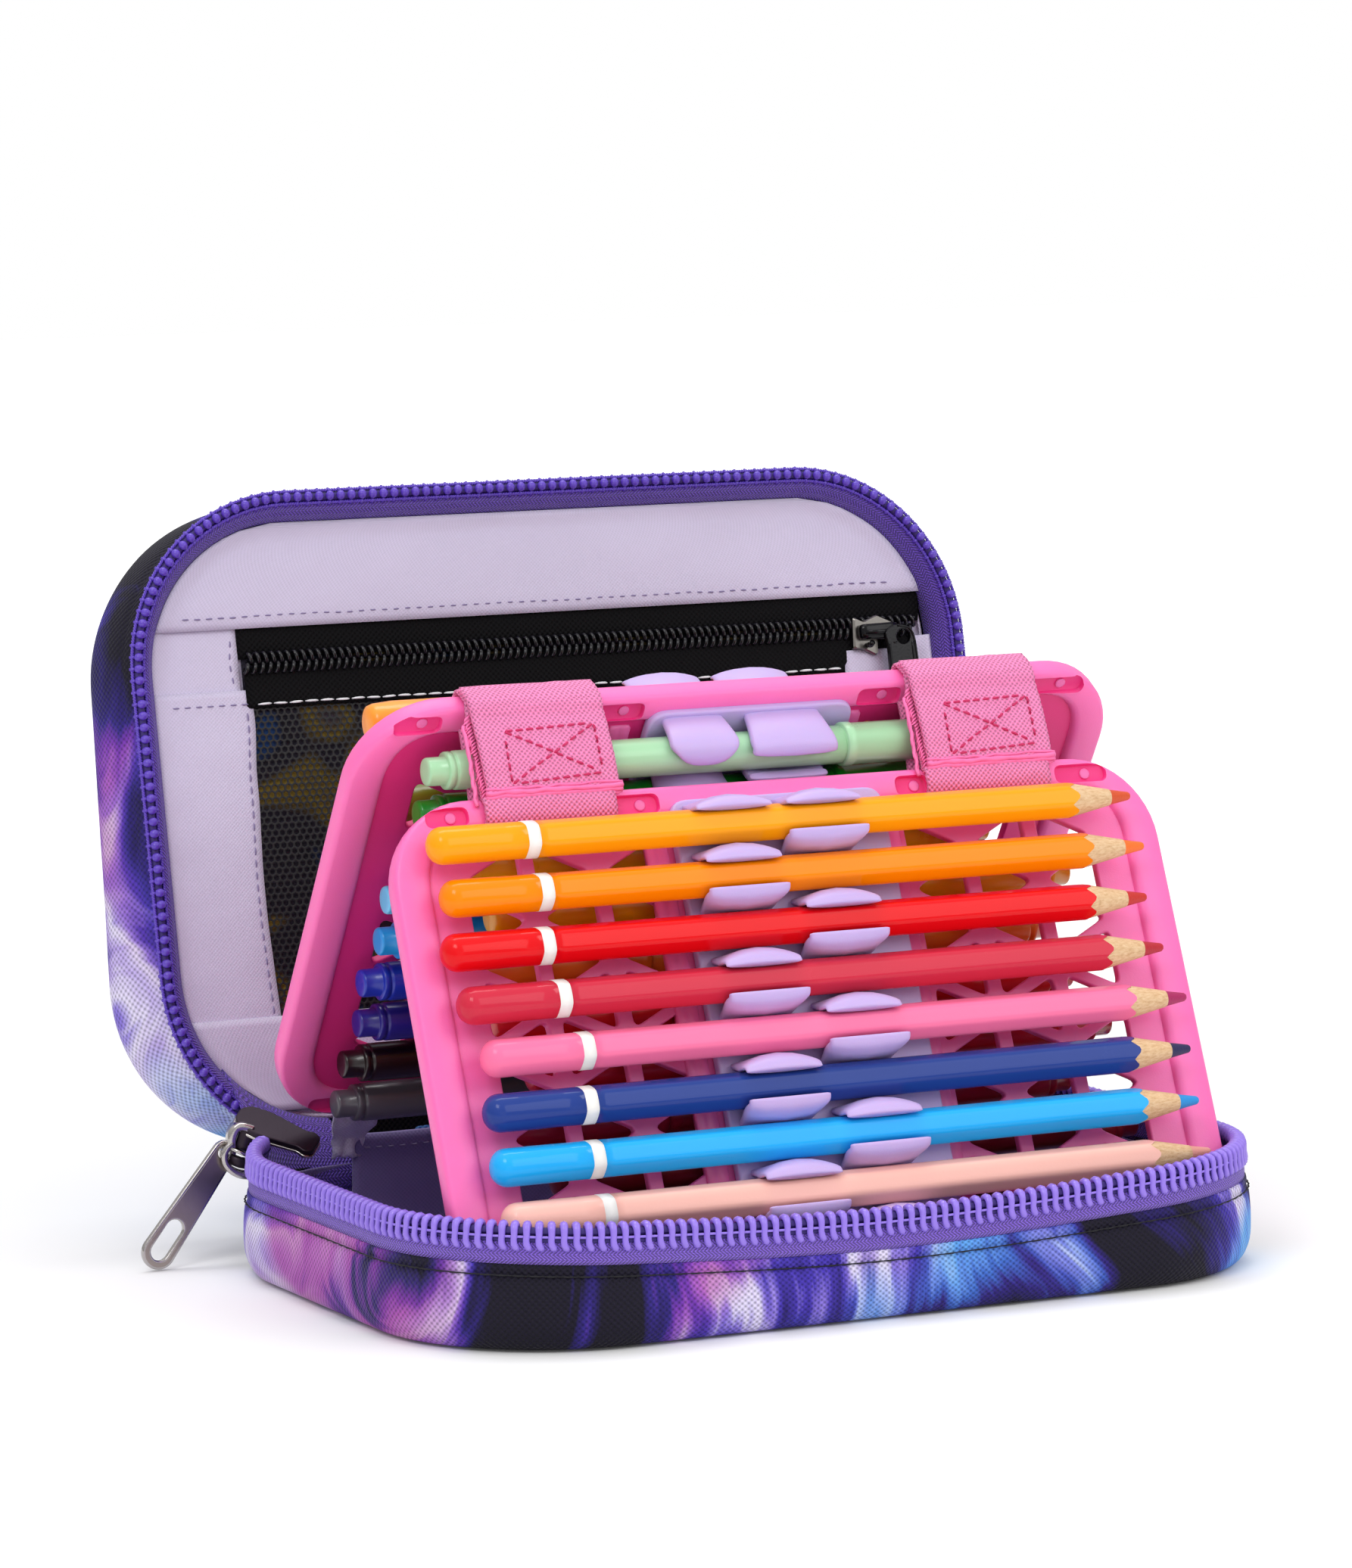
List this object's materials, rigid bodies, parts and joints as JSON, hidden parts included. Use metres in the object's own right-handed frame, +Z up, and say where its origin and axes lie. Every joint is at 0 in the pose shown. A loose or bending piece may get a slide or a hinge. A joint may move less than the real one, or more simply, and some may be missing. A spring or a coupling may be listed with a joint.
{
  "type": "filled pencil case",
  "caption": "Zipped fabric pencil case standing open, with a leaning lid, a netted zip pocket and two strapped plastic pages that hold coloured pencils and felt pens.",
  "frame": {"origin": "middle of the tray's flat underside, where the case stands on the table", "axes": "+X along the case towards the pencils' points, +Y from the open front to the lid, +Z up"},
  "size_m": [0.2333, 0.2038, 0.175],
  "materials": {
    "printed_fabric": "woven polyester with a printed swirl pattern",
    "lining": "lilac satin lining",
    "zip_tape": "purple woven zip tape",
    "zip_coil": "purple nylon zip teeth",
    "black_net": "black polyester net",
    "black_tape": "black woven tape",
    "black_metal": "black enamelled metal",
    "black_coil": "black nylon zip teeth",
    "gunmetal": "dark polished metal",
    "page_plastic": "satin pink moulded plastic",
    "silicone": "lilac silicone rubber",
    "webbing": "pink woven webbing",
    "pencil_1": "glossy lacquered wood",
    "pencil_2": "glossy lacquered wood",
    "pencil_3": "glossy lacquered wood",
    "pencil_4": "glossy lacquered wood",
    "pencil_5": "glossy lacquered wood",
    "pencil_6": "glossy lacquered wood",
    "pencil_7": "glossy lacquered wood",
    "pencil_8": "glossy lacquered wood",
    "pen_1": "satin plastic",
    "pen_2": "satin plastic",
    "pen_3": "satin plastic",
    "pen_4": "satin plastic",
    "pen_5": "satin plastic",
    "pen_6": "satin plastic",
    "pen_7": "satin plastic",
    "pen_8": "satin plastic",
    "pen_9": "satin plastic",
    "inner_pen_1": "satin plastic",
    "inner_pen_2": "satin plastic",
    "inner_pen_3": "satin plastic",
    "inner_pen_4": "satin plastic",
    "inner_pen_5": "satin plastic",
    "inner_pen_6": "satin plastic",
    "inner_pen_7": "satin plastic",
    "inner_pen_8": "satin plastic",
    "back_pen_1": "satin plastic",
    "back_pen_2": "satin plastic",
    "back_pen_3": "satin plastic",
    "back_pen_4": "satin plastic",
    "back_pen_5": "satin plastic",
    "back_pen_6": "satin plastic",
    "back_pen_7": "satin plastic"
  },
  "bodies": {
    "tray": {"tray_shell": "printed_fabric", "tray_lining": "lining", "tray_zip_tape": "zip_tape", "tray_zip_coil": "zip_coil", "spine_hinge": "printed_fabric", "page_tab_left": "lining", "page_tab_right": "lining"},
    "lid": {"lid_shell": "printed_fabric", "lid_lining": "lining", "lid_zip_tape": "zip_tape", "lid_zip_coil": "zip_coil", "pocket_facing": "lining", "pocket_mesh": "black_net", "pocket_zip_tape": "black_tape", "pocket_zip_coil": "black_coil"},
    "pocket_zip_slider": {"pocket_slider": "black_metal"},
    "pocket_zip_puller": {"pocket_puller": "black_metal"},
    "main_zip_slider": {"zip_slider": "gunmetal"},
    "main_zip_puller": {"zip_puller": "gunmetal"},
    "rear_leaf": {"rear_page": "page_plastic", "rear_page_grip": "silicone", "rear_page_back_grip": "silicone", "strap_left": "webbing", "strap_right": "webbing", "pen_1": "pen_1", "pen_2": "pen_2", "pen_3": "pen_3", "pen_4": "pen_4", "pen_5": "pen_5", "pen_6": "pen_6", "pen_7": "pen_7", "pen_8": "pen_8", "pen_9": "pen_9", "back_pen_1": "back_pen_1", "back_pen_2": "back_pen_2", "back_pen_3": "back_pen_3", "back_pen_4": "back_pen_4", "back_pen_5": "back_pen_5", "back_pen_6": "back_pen_6", "back_pen_7": "back_pen_7"},
    "front_leaf": {"front_page": "page_plastic", "front_page_grip": "silicone", "front_page_back_grip": "silicone", "pencil_8": "pencil_8", "inner_pen_1": "inner_pen_1", "inner_pen_2": "inner_pen_2", "inner_pen_3": "inner_pen_3", "inner_pen_4": "inner_pen_4", "inner_pen_5": "inner_pen_5", "inner_pen_6": "inner_pen_6", "inner_pen_7": "inner_pen_7", "inner_pen_8": "inner_pen_8"},
    "pencil_1_body": {"pencil_1": "pencil_1"},
    "pencil_2_body": {"pencil_2": "pencil_2"},
    "pencil_3_body": {"pencil_3": "pencil_3"},
    "pencil_4_body": {"pencil_4": "pencil_4"},
    "pencil_5_body": {"pencil_5": "pencil_5"},
    "pencil_6_body": {"pencil_6": "pencil_6"},
    "pencil_7_body": {"pencil_7": "pencil_7"}
  },
  "joints": [
    {"name": "lid_hinge", "type": "hinge", "parent": "tray", "child": "lid", "pos_m": [0, 0.0762, 0.022], "axis": [-1, 0, 0], "range_deg": [-12, 64], "deforming": ["spine_hinge"]},
    {"name": "page_tilt", "type": "hinge", "parent": "tray", "child": "rear_leaf", "pos_m": [0, 0.0561, 0.0343], "axis": [1, 0, 0], "range_deg": [-20, 0], "deforming": ["page_tab_left", "page_tab_right"]},
    {"name": "front_page_fold", "type": "hinge", "parent": "rear_leaf", "child": "front_leaf", "pos_m": [0, -0.015, 0.124], "axis": [1, 0, 0], "range_deg": [0, 5.1], "deforming": ["strap_left", "strap_right"]},
    {"name": "zip_slider_run", "type": "hinge", "parent": "tray", "child": "main_zip_slider", "pos_m": [-0.06365, 0.0319, 0], "axis": [0, 0, 1], "range_deg": [0, 45]},
    {"name": "zip_puller_swing", "type": "hinge", "parent": "main_zip_slider", "child": "main_zip_puller", "pos_m": [-0.10296, 0.06384, 0.02609], "axis": [0, 1, 0], "range_deg": [0, 85]},
    {"name": "pocket_slider_travel", "type": "slide", "parent": "lid", "child": "pocket_zip_slider", "axis": [-1, 0, 0], "range_m": [0, 0.15]},
    {"name": "pocket_puller_swing", "type": "hinge", "parent": "pocket_zip_slider", "child": "pocket_zip_puller", "pos_m": [0.085, 0.09734, 0.13276], "axis": [-1, 0, 0], "range_deg": [0, 100]},
    {"name": "pencil_1_slide", "type": "slide", "parent": "front_leaf", "child": "pencil_1_body", "axis": [1, 0, 0], "range_m": [0, 0.12]},
    {"name": "pencil_2_slide", "type": "slide", "parent": "front_leaf", "child": "pencil_2_body", "axis": [1, 0, 0], "range_m": [0, 0.12]},
    {"name": "pencil_3_slide", "type": "slide", "parent": "front_leaf", "child": "pencil_3_body", "axis": [1, 0, 0], "range_m": [0, 0.12]},
    {"name": "pencil_4_slide", "type": "slide", "parent": "front_leaf", "child": "pencil_4_body", "axis": [1, 0, 0], "range_m": [0, 0.12]},
    {"name": "pencil_5_slide", "type": "slide", "parent": "front_leaf", "child": "pencil_5_body", "axis": [1, 0, 0], "range_m": [0, 0.12]},
    {"name": "pencil_6_slide", "type": "slide", "parent": "front_leaf", "child": "pencil_6_body", "axis": [1, 0, 0], "range_m": [0, 0.12]},
    {"name": "pencil_7_slide", "type": "slide", "parent": "front_leaf", "child": "pencil_7_body", "axis": [1, 0, 0], "range_m": [0, 0.12]}
  ],
  "couplings": [
    {"joint": "front_page_fold", "follows": "page_tilt", "ratio": -0.25}
  ]
}
